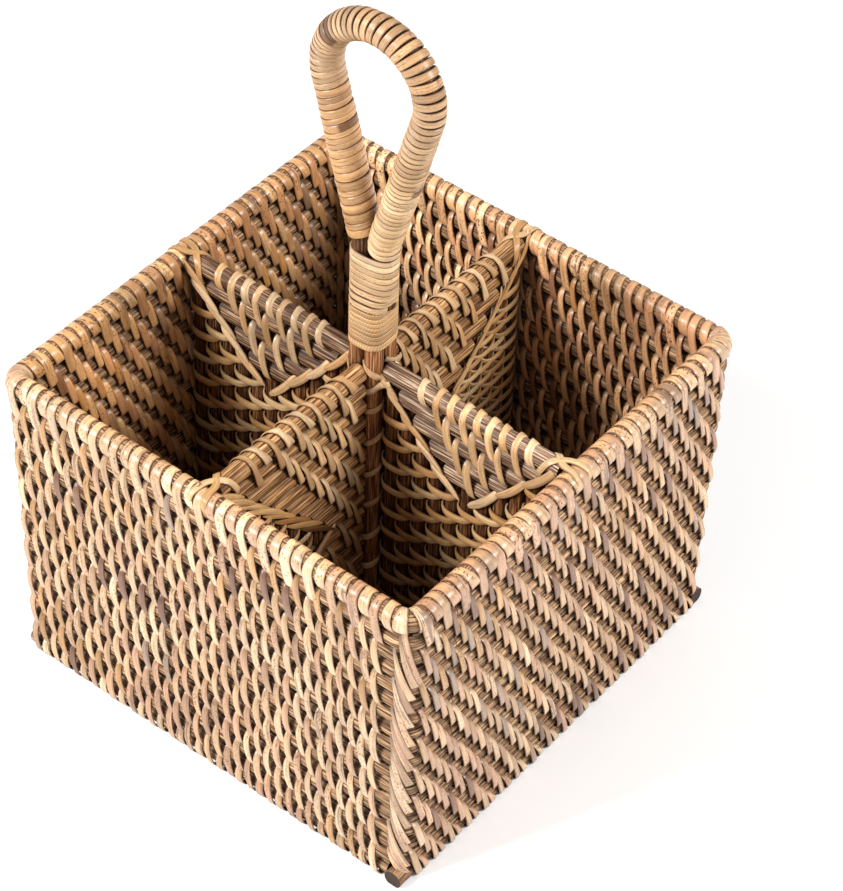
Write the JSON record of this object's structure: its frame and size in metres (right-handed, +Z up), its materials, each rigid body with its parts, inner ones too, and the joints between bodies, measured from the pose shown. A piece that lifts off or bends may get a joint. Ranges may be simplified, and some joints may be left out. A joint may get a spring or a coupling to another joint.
{
  "type": "cutlery holder",
  "caption": "Square rattan cutlery holder with compartments around a cross of partitions and a carrying loop on a bound neck.",
  "frame": {"origin": "middle of the foot, on the surface that the holder stands on", "axes": "+Z up, +X the right side, along the plane of the handle's loop, -Y the front"},
  "size_m": [0.2008, 0.2008, 0.3034],
  "materials": {
    "brown_rod": "dry rattan core, streaked mid brown",
    "dark_rod": "stained rattan, dark reddish brown, satin",
    "grey_rod": "weathered rattan, grey brown with pale streaks",
    "rim_peel": "rattan peel, tan, satin",
    "handle_peel": "rattan peel, pale straw, satin"
  },
  "bodies": {
    "root": {"base_rail_back": "brown_rod", "base_rail_front": "brown_rod", "base_rail_left": "brown_rod", "base_rail_right": "brown_rod", "floor_rods": "brown_rod", "handle_binding_crown": "handle_peel", "handle_binding_left": "handle_peel", "handle_binding_right": "handle_peel", "handle_rod": "dark_rod", "neck_binding": "handle_peel", "partition_back_courses": "brown_rod", "partition_back_uprights": "brown_rod", "partition_front_courses": "brown_rod", "partition_front_uprights": "brown_rod", "partition_left_courses": "grey_rod", "partition_left_uprights": "dark_rod", "partition_right_courses": "grey_rod", "partition_right_uprights": "dark_rod", "post_back_left": "dark_rod", "post_back_right": "dark_rod", "post_front_left": "dark_rod", "post_front_right": "dark_rod", "rim_binding_back": "rim_peel", "rim_binding_front": "rim_peel", "rim_binding_left": "rim_peel", "rim_binding_right": "rim_peel", "rim_rod": "brown_rod", "wall_hoop_01": "brown_rod", "wall_hoop_02": "brown_rod", "wall_hoop_03": "brown_rod", "wall_hoop_04": "brown_rod", "wall_hoop_05": "brown_rod", "wall_hoop_06": "brown_rod", "wall_hoop_07": "brown_rod", "wall_hoop_08": "brown_rod", "wall_hoop_09": "brown_rod", "wall_hoop_10": "brown_rod", "wall_hoop_11": "brown_rod", "wall_hoop_12": "brown_rod", "wall_hoop_13": "brown_rod", "wall_hoop_14": "brown_rod", "wall_hoop_15": "brown_rod", "wall_hoop_16": "brown_rod"}
  },
  "joints": []
}
